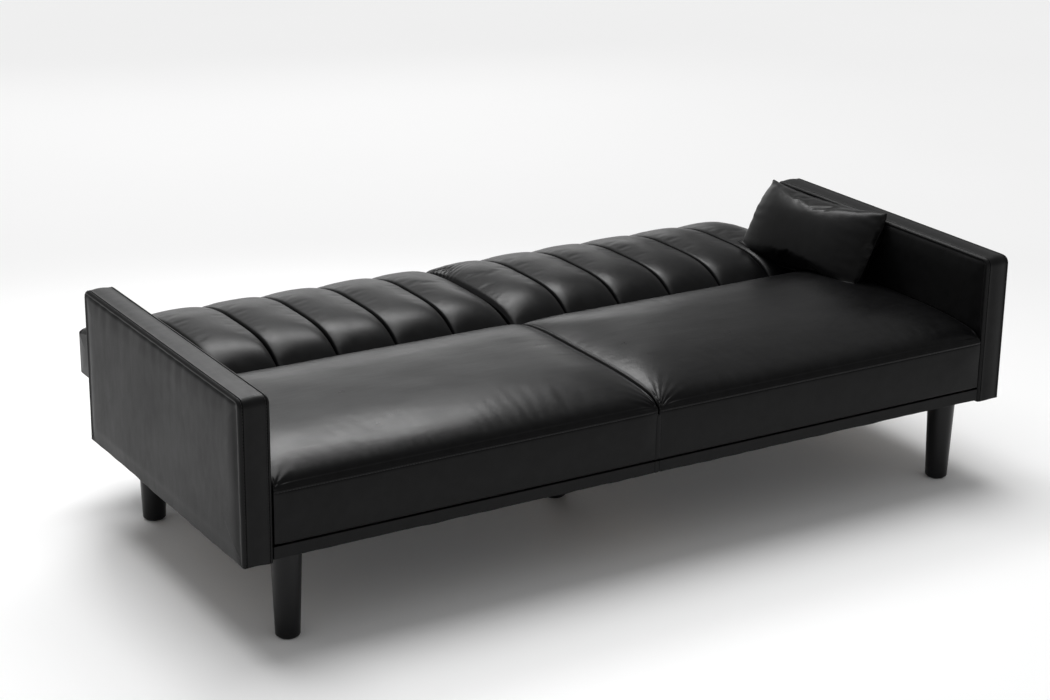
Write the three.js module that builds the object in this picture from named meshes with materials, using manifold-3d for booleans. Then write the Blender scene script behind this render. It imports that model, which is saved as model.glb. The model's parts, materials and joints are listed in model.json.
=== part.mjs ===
// A click-clack futon sofa bed with box arms and a split back, lowered flat as a bed.
// Millimetres, +Z up, +X to the sitter's left, the front of the sofa at -Y.
// Lengths along Y are written from the front face of the arms; the last lines centre the model.
import * as THREE from "three";
import { mergeVertices } from "three/addons/utils/BufferGeometryUtils.js";
import Module from "manifold-3d";

const wasm = await Module();
wasm.setup();

// ---- driving sizes ----
const overallWidth = 1900;
const armThickness = 65;
const armDepth = 780;
const armHeight = 337; // bottom hem to top seam
const armCornerRadius = 18;
const armDrop = 3; // the arm's hem hangs this far below the base rails

const legHeight = 194;
const legTopRadius = 31.5;
const legFootRadius = 25;
const legChamfer = 3;
const legSetIn = 118; // leg axis from the arm's outer face
const frontLegY = 60;
const rearLegSetIn = 52; // leg axis from the rear of the arms
const centreLegY = 400;
const studRadius = 4;
const studLength = 18;
const plateSize = 92;
const plateThickness = 3;
const plateScrewRadius = 2.5;
const plateScrewInset = 10;

const railHeight = 28;
const railThickness = 30;
const endRailThickness = 34;
const centreRailWidth = 60;
const faceSetBack = 2; // rails and seat band behind the front of the arms
const baseShort = 12; // the base stops this far before the rear of the arms

const seatDepth = 575; // seat band to the seat's rear face
const bandHeight = 110; // seat band, base rail to top seam
const seatShoulder = 28; // how far the seat rises from its seams to its sides
const seatCrown = 23; // how far its middle rises above its sides
const frameBarHeight = 60;
const frameBarThickness = 30;
const endBarThickness = 24;
const centreBarWidth = 24;

const backLength = 424;
const backEdgeThickness = 76; // underside to the crease seam
const creaseStep = 1.1; // the back's crease seam above the seat's
const backShoulder = 34;
const backCrown = 26;
const backPanelThickness = 18;
const bumperRadius = 9;
const bumperHeight = 8;
const bumperChamfer = 2;
const bumperSetIn = 38; // bumper axis from the back's rear edge

const splitGap = 3; // between the two seat halves
const backSplitGap = 8; // between the two back halves
const armGap = 1.5; // seat half to arm
const backArmGap = 6; // back half to arm
const creaseGap = 10; // seat to back

const skin = 2; // leather and its lining
const sheetThickness = 1; // dust covers
const fit = 0.3; // pieces that touch

const hingePlate = 4;
const hingeBossRadius = 10;
const hingeInset = 12.5; // outer end bar behind the end of the seat half
const pivotRadius = 4;
const pivotClearance = 0.3;
const rivetHeadRadius = 7;
const rivetHead = 2;
const fixedArmLength = 142; // mounting end, measured from the pivot
const fixedArmLow = 14; // its lower edge above the bottom of the seat frame
const fixedArmHeight = 42;
const fixedArmClear = 4; // from the rear bar that it steps over
const movingArmLength = 78;
const flangeStart = 28; // the moving arm's flange begins this far behind the pivot
const flangeWidth = 30;
const flangeThickness = 3;
const pocketClearance = 3; // around the hinge arms, in the cushions

const springWire = 3.8;
const springCount = 4; // in each half
const springSwing = 22; // half the width of one zigzag
const springPitch = 52; // one zig
const springEnd = 12; // onto the frame bars at each end
const tieCount = 2;

const boltRadius = 4;
const boltHeadRadius = 6.5;
const boltHead = 5;
const boltIntoArm = 42;
const boltSetIn = 160; // from the ends of the base

const pillowLength = 395;
const pillowHeight = 190;
const pillowThickness = 104;
const pillowSeam = 3; // thickness left at its edge
const pillowRearY = 768; // its rear end, over the crease and onto the right back
const pillowTurn = (5 * Math.PI) / 180; // its rear end swung away from the arm
const pillowFootIn = 80; // its lower edge from the arm
const pillowFootLift = 30; // its lower edge above the seat's seams
const pillowTopIn = 9; // its upper edge from the arm
const pillowRest = 3; // clear of what it lies on

// ---- sizes that follow ----
const armInner = overallWidth / 2 - armThickness;
const baseBottom = legHeight + plateThickness + fit;
const baseTop = baseBottom + railHeight;
const armBottom = baseBottom - armDrop;
const baseDepth = armDepth - baseShort;
const baseHalf = armInner - fit;
const frameBottom = baseTop + sheetThickness + 2 * fit;
const frameTop = frameBottom + frameBarHeight;
const seatBottom = frameBottom;
const seatFront = faceSetBack;
const seatRear = seatFront + seatDepth;
const seatSeam = seatBottom + bandHeight;
const seatInner = splitGap / 2;
const seatOuter = armInner - armGap;
const foamBottom = frameTop + springWire + 2 * fit;
const backFront = seatRear + creaseGap;
const backRear = backFront + backLength;
const backInner = backSplitGap / 2;
const backOuter = armInner - backArmGap;
const backSeam = seatSeam + creaseStep;
const backUnderside = backSeam - backEdgeThickness;
const panelBottom = backUnderside + skin + fit;
const panelTop = panelBottom + backPanelThickness;
const pivotY = seatRear + creaseGap / 2;
const pivotZ = backSeam;
const endBarFace = seatOuter - hingeInset;
const rearBarFront = seatRear - skin - fit - frameBarThickness;
const hingeStack = 2 * hingePlate + 2 * fit; // both arms, from the face of the bar
const pocketZ = [Math.min(seatBottom, backUnderside) - skin, backSeam + backShoulder + backCrown + skin];

// ---- materials ----
const leather = { color: 0x161617, roughness: 0.42, metalness: 0 };
const timber = { color: 0xb98f5c, roughness: 0.8, metalness: 0 };
const plywood = { color: 0xc8a26c, roughness: 0.75, metalness: 0 };
const legFinish = { color: 0x0d0d0e, roughness: 0.35, metalness: 0 };
const blackSteel = { color: 0x1d1e20, roughness: 0.45, metalness: 0.8 };
const zincSteel = { color: 0xa9acb0, roughness: 0.35, metalness: 0.9 };
const foam = { color: 0xe6dcae, roughness: 0.95, metalness: 0 };
const nonWoven = { color: 0x1a1a1b, roughness: 0.95, metalness: 0 };
const rubber = { color: 0x121212, roughness: 0.8, metalness: 0 };

// ---- geometry helpers ----
function box(x0, x1, y0, y1, z0, z1) {
  const g = new THREE.BoxGeometry(x1 - x0, y1 - y0, z1 - z0);
  return g.translate((x0 + x1) / 2, (y0 + y1) / 2, (z0 + z1) / 2);
}

// A shape drawn in (Y, Z), pushed along X.
function alongX(shape, x0, x1, curveSegments = 8) {
  const g = new THREE.ExtrudeGeometry(shape, { depth: x1 - x0, bevelEnabled: false, curveSegments });
  const turn = new THREE.Matrix4().makeBasis(
    new THREE.Vector3(0, 1, 0),
    new THREE.Vector3(0, 0, 1),
    new THREE.Vector3(1, 0, 0),
  );
  return g.applyMatrix4(turn).translate(x0, 0, 0);
}

// A turned piece: pairs of radius and height, standing on +Z at (x, y, z).
function turned(profile, x, y, z, segments) {
  const points = profile.map(([r, h]) => new THREE.Vector2(r, h));
  return new THREE.LatheGeometry(points, segments).rotateX(Math.PI / 2).translate(x, y, z);
}

// The same, lying along +X.
function turnedAlongX(profile, x, y, z, segments) {
  return turned(profile, 0, 0, 0, segments).rotateY(Math.PI / 2).translate(x, y, z);
}

function solid(geometry) {
  const bare = new THREE.BufferGeometry().setAttribute("position", geometry.getAttribute("position"));
  if (geometry.index) bare.setIndex(geometry.index);
  const merged = mergeVertices(bare, 1e-3);
  return new wasm.Manifold(
    new wasm.Mesh({
      numProp: 3,
      vertProperties: merged.getAttribute("position").array,
      triVerts: new Uint32Array(merged.index.array),
    }),
  );
}

function geometryOf(manifold) {
  const made = manifold.getMesh();
  return new THREE.BufferGeometry()
    .setAttribute("position", new THREE.BufferAttribute(new Float32Array(made.vertProperties), 3))
    .setIndex(new THREE.BufferAttribute(new Uint32Array(made.triVerts), 1));
}

const cut = (geometry, ...cutters) =>
  geometryOf(cutters.reduce((left, c) => left.subtract(solid(c)), solid(geometry)));

const join = (...geometries) =>
  geometryOf(geometries.map(solid).reduce((whole, g) => whole.add(g)));

// Steps from 0 to 1, closer together at both ends.
const easedSteps = (n) => Array.from({ length: n + 1 }, (_, i) => (1 - Math.cos((Math.PI * i) / n)) / 2);

// A block with straight sides, a flat underside and a top at the height topAt(x, y).
function domedBlock(x0, x1, y0, y1, bottom, topAt, nx = 10, ny = 9) {
  const xs = easedSteps(nx).map((s) => x0 + s * (x1 - x0));
  const ys = easedSteps(ny).map((s) => y0 + s * (y1 - y0));
  const points = [];
  const faces = [];
  const at = (i, j) => j * (nx + 1) + i;
  for (const y of ys) for (const x of xs) points.push(x, y, topAt(x, y));
  for (let j = 0; j < ny; j++)
    for (let i = 0; i < nx; i++)
      faces.push(at(i, j), at(i + 1, j), at(i + 1, j + 1), at(i, j), at(i + 1, j + 1), at(i, j + 1));
  const rim = [];
  for (let i = 0; i < nx; i++) rim.push([i, 0]);
  for (let j = 0; j < ny; j++) rim.push([nx, j]);
  for (let i = nx; i > 0; i--) rim.push([i, ny]);
  for (let j = ny; j > 0; j--) rim.push([0, j]);
  const low = points.length / 3;
  for (const [i, j] of rim) points.push(xs[i], ys[j], bottom);
  points.push((x0 + x1) / 2, (y0 + y1) / 2, bottom);
  const middle = low + rim.length;
  rim.forEach(([i, j], k) => {
    const next = (k + 1) % rim.length;
    const [ni, nj] = rim[next];
    faces.push(low + k, low + next, at(ni, nj), low + k, at(ni, nj), at(i, j));
    faces.push(middle, low + next, low + k);
  });
  return new THREE.BufferGeometry()
    .setAttribute("position", new THREE.BufferAttribute(new Float32Array(points), 3))
    .setIndex(faces);
}

// 0 at both ends of a span and 1 in its middle; a higher power keeps the middle flatter.
const swell = (t, power) => 1 - Math.abs(2 * t - 1) ** power;
const share = (value, low, high) => Math.min(1, Math.max(0, (value - low) / (high - low)));

// ---- the model ----
const sofa = new THREE.Group();
sofa.name = "futon_sofa_bed";

function piece(name, geometry, finish) {
  const mesh = new THREE.Mesh(geometry, new THREE.MeshStandardMaterial(finish));
  mesh.name = name;
  sofa.add(mesh);
}

const halves = [
  ["left", -1],
  ["right", 1],
];
// A span given outwards from the middle, on one side of the sofa.
const span = (side, near, far) => (side > 0 ? [near, far] : [-far, -near]);

// ---- base: rails, legs and their plates ----
const railZ = [baseBottom, baseTop];
const railFront = [faceSetBack, faceSetBack + railThickness];
const railRear = [baseDepth - railThickness, baseDepth];
const betweenRails = [railFront[1] + fit, railRear[0] - fit];
const boltZ = baseBottom + railHeight / 2;
const boltYs = [boltSetIn, baseDepth - boltSetIn];
const boltHole = (side, y) =>
  turnedAlongX(
    [
      [0, 0],
      [boltRadius + fit, 0],
      [boltRadius + fit, endRailThickness + boltIntoArm + 3 * fit],
      [0, endRailThickness + boltIntoArm + 3 * fit],
    ],
    side > 0 ? baseHalf - endRailThickness - fit : -(baseHalf + boltIntoArm + 2 * fit),
    y,
    boltZ,
    16,
  );

piece("front_rail", box(-baseHalf, baseHalf, ...railFront, ...railZ), timber);
piece("rear_rail", box(-baseHalf, baseHalf, ...railRear, ...railZ), timber);
for (const [hand, side] of halves) {
  const rail = box(...span(side, baseHalf - endRailThickness, baseHalf), ...betweenRails, ...railZ);
  piece(`${hand}_end_rail`, cut(rail, ...boltYs.map((y) => boltHole(side, y))), timber);
}

const studHole = (x, y) =>
  turned(
    [
      [0, -fit],
      [studRadius + fit, -fit],
      [studRadius + fit, plateThickness + studLength],
      [0, plateThickness + studLength],
    ],
    x,
    y,
    legHeight,
    16,
  );
const centreRail = box(-centreRailWidth / 2, centreRailWidth / 2, ...betweenRails, ...railZ);
piece("centre_rail", cut(centreRail, studHole(0, centreLegY)), timber);

function addLeg(place, x, y) {
  const profile = [
    [0, 0],
    [legFootRadius - legChamfer, 0],
    [legFootRadius, legChamfer],
    [legTopRadius, legHeight - fit - legChamfer],
    [legTopRadius - legChamfer, legHeight - fit],
    [studRadius, legHeight - fit],
    [studRadius, legHeight - fit + studLength],
    [0, legHeight - fit + studLength],
  ];
  piece(`${place}_leg`, turned(profile, x, y, 0, 24), legFinish);
  const half = plateSize / 2;
  const screw = half - plateScrewInset;
  const corners = [
    [-screw, -screw],
    [screw, -screw],
    [screw, screw],
    [-screw, screw],
  ];
  const screwHole = ([dx, dy]) =>
    new THREE.CylinderGeometry(plateScrewRadius, plateScrewRadius, 3 * plateThickness, 8)
      .rotateX(Math.PI / 2)
      .translate(x + dx, y + dy, legHeight + plateThickness / 2);
  const plate = box(x - half, x + half, y - half, y + half, legHeight, legHeight + plateThickness);
  piece(`${place}_leg_plate`, cut(plate, studHole(x, y), ...corners.map(screwHole)), blackSteel);
}

for (const [hand, side] of halves) {
  const legX = side * (overallWidth / 2 - legSetIn);
  addLeg(`front_${hand}`, legX, frontLegY);
  addLeg(`rear_${hand}`, legX, armDepth - rearLegSetIn);
}
addLeg("centre", 0, centreLegY);

// ---- arms: a padded panel in a leather sleeve, bolted to the end rails ----
function armOutline(inset, bottom) {
  const front = inset;
  const rear = armDepth - inset;
  const top = armBottom + armHeight - inset;
  const r = armCornerRadius - inset;
  const s = new THREE.Shape();
  s.moveTo(front, bottom);
  s.lineTo(rear, bottom);
  s.lineTo(rear, top - r);
  s.absarc(rear - r, top - r, r, 0, Math.PI / 2, false);
  s.lineTo(front + r, top);
  s.absarc(front + r, top - r, r, Math.PI / 2, Math.PI, false);
  s.closePath();
  return s;
}

for (const [hand, side] of halves) {
  const holes = () => boltYs.map((y) => boltHole(side, y));
  const sleeve = alongX(armOutline(0, armBottom), ...span(side, armInner, overallWidth / 2), 5);
  const inside = alongX(
    armOutline(skin, armBottom - skin),
    ...span(side, armInner + skin, overallWidth / 2 - skin),
    5,
  );
  piece(`${hand}_arm_cover`, cut(sleeve, inside, ...holes()), leather);
  const inset = skin + fit;
  const panel = alongX(
    armOutline(inset, armBottom + fit),
    ...span(side, armInner + inset, overallWidth / 2 - inset),
    5,
  );
  piece(`${hand}_arm_panel`, cut(panel, ...holes()), timber);
  const shank = endRailThickness + boltIntoArm;
  const bolt = [
    [0, 0],
    [boltHeadRadius, 0],
    [boltHeadRadius, boltHead],
    [boltRadius, boltHead],
    [boltRadius, boltHead + fit + shank],
    [0, boltHead + fit + shank],
  ];
  boltYs.forEach((y, i) => {
    const made = turnedAlongX(bolt, 0, 0, 0, 16);
    if (side < 0) made.rotateZ(Math.PI);
    made.translate(side * (baseHalf - endRailThickness - fit - boltHead), y, boltZ);
    piece(`${hand}_arm_bolt_${i ? "rear" : "front"}`, made, zincSteel);
  });
}

// ---- seat frame, dust cover and springs ----
const barZ = [frameBottom, frameTop];
const frontBar = [seatFront + skin + fit, seatFront + skin + fit + frameBarThickness];
const rearBar = [rearBarFront, rearBarFront + frameBarThickness];
const betweenBars = [frontBar[1] + fit, rearBar[0] - fit];
piece("seat_front_bar", box(-endBarFace, endBarFace, ...frontBar, ...barZ), timber);
piece("seat_rear_bar", box(-endBarFace, endBarFace, ...rearBar, ...barZ), timber);
for (const [hand, side] of halves)
  piece(
    `seat_${hand}_end_bar`,
    box(...span(side, endBarFace - endBarThickness, endBarFace), ...betweenBars, ...barZ),
    timber,
  );
piece("seat_centre_bar", box(-centreBarWidth / 2, centreBarWidth / 2, ...betweenBars, ...barZ), timber);
piece(
  "base_dust_cover",
  box(-endBarFace, endBarFace, frontBar[0], rearBar[1], baseTop + fit, baseTop + fit + sheetThickness),
  nonWoven,
);

// One zigzag wire, flat, from the front bar to the rear bar.
function zigzag(x) {
  const from = frontBar[1] - springEnd;
  const to = rearBar[0] + springEnd;
  const turns = Math.max(2, Math.round((to - from) / springPitch));
  const half = springWire / 2;
  const middles = [];
  for (let i = 0; i <= turns; i++) {
    const swing = i === 0 || i === turns ? 0 : i % 2 ? springSwing : -springSwing;
    middles.push(new THREE.Vector2(x + swing, from + (i * (to - from)) / turns));
  }
  const sideways = (p, q) => new THREE.Vector2(p.y - q.y, q.x - p.x).normalize();
  const edge = (sign) =>
    middles.map((p, i) => {
      const a = i ? sideways(middles[i - 1], p) : sideways(p, middles[1]);
      const b = i < turns ? sideways(p, middles[i + 1]) : a;
      const mitre = a.clone().add(b).normalize();
      return p.clone().addScaledVector(mitre, (sign * half) / mitre.dot(a));
    });
  const shape = new THREE.Shape([...edge(1), ...edge(-1).reverse()]);
  return new THREE.ExtrudeGeometry(shape, { depth: springWire, bevelEnabled: false }).translate(
    0,
    0,
    frameTop + fit,
  );
}

for (const [hand, side] of halves) {
  const [low, high] = span(side, centreBarWidth / 2, endBarFace - endBarThickness);
  const spacing = (high - low) / springCount;
  const wires = Array.from({ length: springCount }, (_, i) => low + spacing * (i + 0.5));
  const ties = Array.from({ length: tieCount }, (_, i) => {
    const y = betweenBars[0] + ((i + 1) * (betweenBars[1] - betweenBars[0])) / (tieCount + 1);
    const z = frameTop + fit;
    const ends = [wires[0] - springSwing, wires.at(-1) + springSwing];
    return box(...ends, y - springWire / 2, y + springWire / 2, z, z + springWire);
  });
  piece(`seat_springs_${hand}`, join(...wires.map(zigzag), ...ties), zincSteel);
}

// ---- hinges: a fixed and a moving arm on a rivet, two to each back half ----
// The bar's face that each pair sits against, outwards from the middle, and the way its flange turns.
const hinges = [
  ["inner", centreBarWidth / 2, 1],
  ["outer", endBarFace, -1],
];

function bossHole(shape) {
  const hole = new THREE.Path();
  hole.absarc(pivotY, pivotZ, pivotRadius + pivotClearance, 0, 2 * Math.PI, true);
  shape.holes.push(hole);
  return shape;
}

function fixedArmShape() {
  const low = frameBottom + fixedArmLow;
  const front = pivotY - fixedArmLength;
  const step = rearBarFront - fixedArmClear;
  const s = new THREE.Shape();
  s.moveTo(front, low);
  s.lineTo(step, low);
  s.lineTo(step, frameTop + fixedArmClear);
  s.absarc(pivotY, pivotZ, hingeBossRadius, -Math.PI / 4, (3 * Math.PI) / 4, false);
  s.lineTo(step - fixedArmHeight, low + fixedArmHeight);
  s.lineTo(front, low + fixedArmHeight);
  s.closePath();
  return bossHole(s);
}

function movingArmShape() {
  const low = panelBottom - fit - flangeThickness;
  const s = new THREE.Shape();
  s.moveTo(pivotY + flangeStart, low);
  s.lineTo(pivotY + movingArmLength, low);
  s.lineTo(pivotY + movingArmLength, panelTop);
  s.lineTo(pivotY + flangeStart + backPanelThickness, panelTop);
  s.absarc(pivotY, pivotZ, hingeBossRadius, Math.PI / 6, (5 * Math.PI) / 4, false);
  s.closePath();
  return bossHole(s);
}

for (const [hand, side] of halves)
  for (const [place, face, flangeSide] of hinges) {
    const fixed = [face + fit, face + fit + hingePlate];
    const moving = [fixed[1] + fit, face + hingeStack];
    const name = `${hand}_${place}_hinge`;
    piece(`${name}_fixed_arm`, alongX(fixedArmShape(), ...span(side, ...fixed)), blackSteel);
    const flangeX =
      flangeSide > 0
        ? [moving[0], moving[1] + flangeWidth]
        : [moving[0] - flangeWidth, moving[1]];
    const flange = box(
      ...span(side, ...flangeX),
      pivotY + flangeStart,
      pivotY + movingArmLength,
      panelBottom - fit - flangeThickness,
      panelBottom - fit,
    );
    const web = alongX(movingArmShape(), ...span(side, ...moving));
    piece(`${name}_moving_arm`, join(web, flange), blackSteel);
    const rivet = [
      [0, -fit - rivetHead],
      [rivetHeadRadius, -fit - rivetHead],
      [rivetHeadRadius, -fit],
      [pivotRadius, -fit],
      [pivotRadius, hingeStack],
      [rivetHeadRadius, hingeStack],
      [rivetHeadRadius, hingeStack + rivetHead],
      [0, hingeStack + rivetHead],
    ];
    const made = turnedAlongX(rivet, fit, 0, 0, 16);
    if (side < 0) made.rotateZ(Math.PI);
    piece(`${name}_rivet`, made.translate(side * face, pivotY, pivotZ), zincSteel);
  }

// Slots in the ends of a cushion, where the hinge arms go.
function pockets(side, y0, y1) {
  const toSplit = [0, centreBarWidth / 2 + hingeStack + rivetHead + pocketClearance];
  const toArm = [endBarFace - rivetHead - pocketClearance, armInner];
  return [toSplit, toArm].map((x) => box(...span(side, ...x), y0, y1, ...pocketZ));
}

// ---- seat cushions: foam on the springs in a leather cover that is open below ----
function seatTop(side, inset) {
  return (x, y) => {
    const across = share(side * x, seatInner, seatOuter);
    const along = share(y, seatFront, seatRear);
    const rise = seatShoulder * swell(along, 4) + seatCrown * swell(along, 2) * swell(across, 4);
    return seatSeam + rise - inset;
  };
}

function seatBlock(side, inset, bottom) {
  const x = span(side, seatInner + inset, seatOuter - inset);
  return domedBlock(...x, seatFront + inset, seatRear - inset, bottom, seatTop(side, inset));
}

for (const [hand, side] of halves) {
  const slots = pockets(side, pivotY - fixedArmLength - pocketClearance, backFront);
  piece(
    `seat_cover_${hand}`,
    cut(
      seatBlock(side, 0, seatBottom),
      seatBlock(side, skin, seatBottom - skin),
      // the halves share one frame, so the walls at the split stop above it
      box(...span(side, 0, centreBarWidth), frontBar[0] - fit, seatRear + fit, seatBottom - skin, foamBottom),
      ...slots,
    ),
    leather,
  );
  piece(`seat_foam_${hand}`, cut(seatBlock(side, skin + fit, foamBottom), ...slots), foam);
}

// ---- back halves: foam on a plywood panel, a cover open below and a dust cover ----
function backTop(side, inset) {
  return (x, y) => {
    const across = share(side * x, backInner, backOuter);
    const along = share(y, backFront, backRear);
    const rise = backShoulder * swell(along, 3) + backCrown * swell(along, 2) * swell(across, 4);
    return backSeam + rise - inset;
  };
}

function backBlock(side, inset, bottom) {
  const x = span(side, backInner + inset, backOuter - inset);
  return domedBlock(...x, backFront + inset, backRear - inset, bottom, backTop(side, inset));
}

for (const [hand, side] of halves) {
  const slots = pockets(side, seatRear, pivotY + movingArmLength + pocketClearance);
  const cover = cut(
    backBlock(side, 0, backUnderside),
    backBlock(side, skin, backUnderside - skin),
    ...slots,
  );
  piece(`back_cover_${hand}`, cover, leather);
  piece(`back_foam_${hand}`, cut(backBlock(side, skin + fit, panelTop + fit), ...slots), foam);
  const panelX = span(side, centreBarWidth / 2 + hingeStack + fit, endBarFace + hingePlate + fit);
  const panelRear = backRear - skin - fit;
  const panel = box(...panelX, backFront + skin + fit, panelRear, panelBottom, panelTop);
  piece(`back_panel_${hand}`, panel, plywood);
  const sheetTop = panelBottom - fit;
  const sheet = box(
    ...panelX,
    pivotY + movingArmLength + fit,
    panelRear,
    sheetTop - sheetThickness,
    sheetTop,
  );
  piece(`back_dust_cover_${hand}`, sheet, nonWoven);
  const bumper = [
    [0, 0],
    [bumperRadius - bumperChamfer, 0],
    [bumperRadius, bumperChamfer],
    [bumperRadius, bumperHeight],
    [0, bumperHeight],
  ];
  const bumperX = side * (endBarFace + hingePlate - bumperRadius);
  const bumperZ = sheetTop - sheetThickness - fit - bumperHeight;
  piece(`back_bumper_${hand}`, turned(bumper, bumperX, backRear - bumperSetIn, bumperZ, 16), rubber);
}

// ---- lumbar pillow, leaning on the right arm across the crease ----
// Its middle sheet runs from a foot on the cushions to a head against the arm; two faces bulge from it.
function pillow(nu = 12, nw = 8) {
  const foot = new THREE.Vector2(armInner - pillowFootIn, seatSeam + pillowFootLift);
  const run = pillowFootIn - pillowTopIn;
  const lean = new THREE.Vector2(run, Math.sqrt(pillowHeight ** 2 - run ** 2)).normalize();
  const out = new THREE.Vector2(lean.y, -lean.x); // towards the arm
  const turnsAt = pillowRearY - 0.75 * pillowLength;
  const restsAt = (x, y) => (y < pivotY ? seatTop(1, 0)(x, y) : backTop(1, 0)(x, y)) + pillowRest;
  const us = easedSteps(nu);
  const ws = easedSteps(nw);
  const points = [];
  const faces = [];
  for (const face of [-1, 1])
    for (const w of ws)
      for (const u of us) {
        const full = Math.sqrt(swell(u, 2.6) * swell(w, 2.6));
        const thick = pillowSeam / 2 + (pillowThickness / 2 - pillowSeam / 2) * full;
        const p = foot.clone().addScaledVector(lean, w * pillowHeight).addScaledVector(out, face * thick);
        const y = pillowRearY - (1 - u) * pillowLength;
        const x = Math.min(p.x - Math.tan(pillowTurn) * (y - turnsAt), armInner - 2 * fit);
        points.push(x, y, Math.max(p.y, restsAt(x, y)));
      }
  const at = (layer, i, j) => layer * (nu + 1) * (nw + 1) + j * (nu + 1) + i;
  const quad = (a, b, c, d) => faces.push(a, b, c, a, c, d);
  for (let j = 0; j < nw; j++)
    for (let i = 0; i < nu; i++) {
      quad(at(0, i, j), at(0, i, j + 1), at(0, i + 1, j + 1), at(0, i + 1, j));
      quad(at(1, i, j), at(1, i + 1, j), at(1, i + 1, j + 1), at(1, i, j + 1));
    }
  for (let i = 0; i < nu; i++) {
    quad(at(0, i, 0), at(0, i + 1, 0), at(1, i + 1, 0), at(1, i, 0));
    quad(at(0, i, nw), at(1, i, nw), at(1, i + 1, nw), at(0, i + 1, nw));
  }
  for (let j = 0; j < nw; j++) {
    quad(at(0, 0, j), at(1, 0, j), at(1, 0, j + 1), at(0, 0, j + 1));
    quad(at(0, nu, j), at(0, nu, j + 1), at(1, nu, j + 1), at(1, nu, j));
  }
  return new THREE.BufferGeometry()
    .setAttribute("position", new THREE.BufferAttribute(new Float32Array(points), 3))
    .setIndex(faces);
}
piece("lumbar_pillow", pillow(), leather);

// The origin is on the floor, under the middle of the whole lowered sofa.
sofa.position.y = -backRear / 2;

export default sofa;
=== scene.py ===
"""Looks of the click-clack futon sofa bed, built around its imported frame. Metres, +Z up."""

import json
import math

import bmesh
import bpy
import numpy as np
from mathutils import Matrix, Vector, noise


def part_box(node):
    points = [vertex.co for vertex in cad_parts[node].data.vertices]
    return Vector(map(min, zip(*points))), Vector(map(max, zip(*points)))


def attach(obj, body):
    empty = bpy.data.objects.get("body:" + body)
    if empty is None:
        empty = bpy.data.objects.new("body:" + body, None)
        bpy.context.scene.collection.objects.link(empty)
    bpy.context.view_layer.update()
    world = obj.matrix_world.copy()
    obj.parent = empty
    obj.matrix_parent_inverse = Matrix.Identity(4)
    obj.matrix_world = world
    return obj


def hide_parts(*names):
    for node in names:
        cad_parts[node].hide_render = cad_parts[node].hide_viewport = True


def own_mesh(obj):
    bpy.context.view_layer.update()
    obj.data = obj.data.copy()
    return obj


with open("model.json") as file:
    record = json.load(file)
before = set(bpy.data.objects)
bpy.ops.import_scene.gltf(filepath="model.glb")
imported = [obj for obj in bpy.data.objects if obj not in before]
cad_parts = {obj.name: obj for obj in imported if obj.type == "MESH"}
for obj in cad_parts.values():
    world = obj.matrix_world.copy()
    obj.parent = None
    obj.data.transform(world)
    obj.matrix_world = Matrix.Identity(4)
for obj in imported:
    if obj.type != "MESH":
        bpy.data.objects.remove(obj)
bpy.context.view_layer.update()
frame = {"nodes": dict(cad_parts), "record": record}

# ---- camera: place in metres in the row frame, angles in degrees ----
CAMERA_AT = (-2.611, -4.2085, 2.051)
CAMERA_YAW = 31.637
CAMERA_DOWN = 19.315
CAMERA_ROLL = 0.769
LENS_MM = 79.8
SENSOR_MM = 36.0

# ---- seams, in metres ----
SEAM_FINE = (0, 0.001, 0.0022, 0.0036, 0.0051, 0.0064, 0.0077, 0.0094, 0.0122, 0.0168)
SEAM_DEPTH = 0.0030
SEAM_ROLL = 0.0010
STITCH_INSET = 0.0064
STITCH_DENT = 0.0010

# ---- seat halves ----
BAND_TOP = 0.340  # the seam between the front band and the top panel
SEAT_CROWN = 0.0280
SEAT_ROLL = 0.0205  # the tight roll that stands up from the seams round the top panel
SEAT_END_SHARE = 0.55  # part of the crown left at the ends of a half
BAND_BELLY = 0.0035
BAND_WAVES = 0.0006
SEAT_PLEATS = 0.0026  # at the front corner by the sofa's centre
SEAT_TUCKS = 0.0010  # at the front corner by the arm
SEAT_PULLS = 0.0004
SEAT_WAVES = 0.0007
SEAT_SWELL = 0.005  # most that cloth adds
SEAT_GRID = 0.0088

# ---- back halves ----
BACK_SEAM = 0.341
BACK_CROWN = 0.050
BACK_END_SHARE = 0.70
BACK_REAR_BELLY = 0.008
CHANNELS = 6
CHANNEL_SWELL = 0.010
CHANNEL_VALLEY = 0.0135
CHANNEL_FINE = (0, 0.0009, 0.0020, 0.0035, 0.0056, 0.0090, 0.0140)
BACK_GATHERS = 0.0042  # at the rear corners by the split
BACK_TUGS = 0.0004
BACK_REAR_TUGS = 0.0005
BACK_WAVES = 0.0007
BACK_SAG = 0.0012
BACK_SWELL = 0.003  # most that cloth adds
BACK_GRID = 0.0088

# ---- arms ----
ARM_CORNER = 0.018
ARM_EDGE = 0.0065
ARM_GRID = 0.0075
ARM_STITCH = 0.0078  # from the sleeve's edge to its stitched line
ARM_STRIP_FINE = (0, 0.0006, 0.0018, 0.0034, 0.0050, 0.0062, 0.0070, ARM_STITCH, 0.0086, 0.0094, 0.011, 0.015)
ARM_PUCKERS = 0.0016
ARM_TUGS = 0.0007
ARM_SIDE_TUGS = 0.0006
ARM_WAVES = 0.0012
ARM_HEM_FINE = (0, 0.002, 0.005)
ARM_HEM_DROP = 0.0022
ARM_HEM_RIPPLE = 0.0026

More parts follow.
